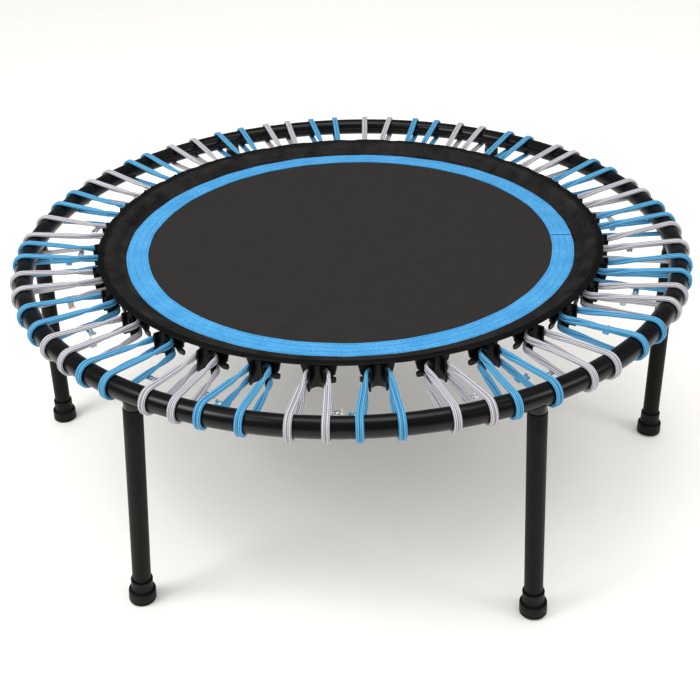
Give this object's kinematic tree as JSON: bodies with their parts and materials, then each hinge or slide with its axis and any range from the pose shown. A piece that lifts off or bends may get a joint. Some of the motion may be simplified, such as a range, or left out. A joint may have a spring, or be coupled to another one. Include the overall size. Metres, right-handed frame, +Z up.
{
  "type": "mini trampoline",
  "caption": "Round indoor rebounder: woven mat hung by clips and doubled bungee cord loops in a tube frame on screw-in legs with rubber feet.",
  "frame": {"origin": "on the floor, under the middle of the mat", "axes": "+Z up, square to the mat; -Y is the front; angles round the frame are counted from -Y towards +X"},
  "size_m": [1.0413, 1.0272, 0.3658],
  "materials": {
    "frame_powder_coat": "satin powder coat",
    "leg_powder_coat": "satin powder coat",
    "zinc_steel": "bright zinc plate",
    "screw_black_zinc": "black zinc plate",
    "foot_rubber": "moulded, matt",
    "mat_fabric": "plain woven polypropylene",
    "band_webbing": "woven webbing, stitched",
    "flap_fabric": "coated woven fabric with a rolled hem",
    "clip_nylon": "injection moulded",
    "strap_webbing": "woven webbing",
    "blue_cord": "braided sheath",
    "silver_cord": "braided sheath",
    "crimp_aluminium": "pressed, bright",
    "cord_core": "cut latex strands"
  },
  "bodies": {
    "frame": {"ring_front_half": "frame_powder_coat", "ring_back_half": "frame_powder_coat", "ring_joint_sleeves": "zinc_steel", "ring_joint_screws": "screw_black_zinc", "leg_sockets": "frame_powder_coat", "blue_bungee_1": "blue_cord", "blue_bungee_2": "blue_cord", "blue_bungee_3": "blue_cord", "blue_bungee_4": "blue_cord", "blue_bungee_5": "blue_cord", "blue_bungee_6": "blue_cord", "blue_bungee_7": "blue_cord", "blue_bungee_8": "blue_cord", "blue_bungee_9": "blue_cord", "blue_bungee_10": "blue_cord", "blue_bungee_11": "blue_cord", "blue_bungee_12": "blue_cord", "blue_bungee_13": "blue_cord", "blue_bungee_14": "blue_cord", "blue_bungee_15": "blue_cord", "blue_bungee_16": "blue_cord", "silver_bungee_1": "silver_cord", "silver_bungee_2": "silver_cord", "silver_bungee_3": "silver_cord", "silver_bungee_4": "silver_cord", "silver_bungee_5": "silver_cord", "silver_bungee_6": "silver_cord", "silver_bungee_7": "silver_cord", "silver_bungee_8": "silver_cord", "silver_bungee_9": "silver_cord", "silver_bungee_10": "silver_cord", "silver_bungee_11": "silver_cord", "silver_bungee_12": "silver_cord", "silver_bungee_13": "silver_cord", "silver_bungee_14": "silver_cord", "silver_bungee_15": "silver_cord", "silver_bungee_16": "silver_cord"},
    "mat": {"mat_sheet": "mat_fabric", "blue_band": "band_webbing", "border_flap": "flap_fabric", "mat_clips": "clip_nylon", "clip_straps": "strap_webbing"},
    "leg_1": {"leg_tube_1": "leg_powder_coat", "leg_insert_1": "zinc_steel", "foot_cap_1": "foot_rubber"},
    "leg_2": {"leg_tube_2": "leg_powder_coat", "leg_insert_2": "zinc_steel", "foot_cap_2": "foot_rubber"},
    "leg_3": {"leg_tube_3": "leg_powder_coat", "leg_insert_3": "zinc_steel", "foot_cap_3": "foot_rubber"},
    "leg_4": {"leg_tube_4": "leg_powder_coat", "leg_insert_4": "zinc_steel", "foot_cap_4": "foot_rubber"},
    "leg_5": {"leg_tube_5": "leg_powder_coat", "leg_insert_5": "zinc_steel", "foot_cap_5": "foot_rubber"},
    "leg_6": {"leg_tube_6": "leg_powder_coat", "leg_insert_6": "zinc_steel", "foot_cap_6": "foot_rubber"}
  },
  "joints": [
    {"name": "mat_bounce", "type": "slide", "parent": "frame", "child": "mat", "axis": [0, 0, 1], "range_m": [-0.1, 0], "stiffness_N_per_m": 9000, "springref_m": 0.003, "deforming": ["blue_bungee_1", "blue_bungee_2", "blue_bungee_3", "blue_bungee_4", "blue_bungee_5", "blue_bungee_6", "blue_bungee_7", "blue_bungee_8", "blue_bungee_9", "blue_bungee_10", "blue_bungee_11", "blue_bungee_12", "blue_bungee_13", "blue_bungee_14", "blue_bungee_15", "blue_bungee_16", "silver_bungee_1", "silver_bungee_2", "silver_bungee_3", "silver_bungee_4", "silver_bungee_5", "silver_bungee_6", "silver_bungee_7", "silver_bungee_8", "silver_bungee_9", "silver_bungee_10", "silver_bungee_11", "silver_bungee_12", "silver_bungee_13", "silver_bungee_14", "silver_bungee_15", "silver_bungee_16"]},
    {"name": "leg_1_unscrew", "type": "slide", "parent": "frame", "child": "leg_1", "axis": [-0.0444, 0.0422, 0.9981], "range_m": [-0.036, 0]},
    {"name": "leg_2_unscrew", "type": "slide", "parent": "frame", "child": "leg_2", "axis": [-0.0023, 0.077, 0.997], "range_m": [-0.036, 0]},
    {"name": "leg_3_unscrew", "type": "slide", "parent": "frame", "child": "leg_3", "axis": [-0.027, -0.0407, 0.9988], "range_m": [-0.036, 0]},
    {"name": "leg_4_unscrew", "type": "slide", "parent": "frame", "child": "leg_4", "axis": [0.0218, -0.0437, 0.9988], "range_m": [-0.036, 0]},
    {"name": "leg_5_unscrew", "type": "slide", "parent": "frame", "child": "leg_5", "axis": [0.0455, 0.0007, 0.999], "range_m": [-0.036, 0]},
    {"name": "leg_6_unscrew", "type": "slide", "parent": "frame", "child": "leg_6", "axis": [0.0909, -0.0016, 0.9959], "range_m": [-0.036, 0]}
  ]
}
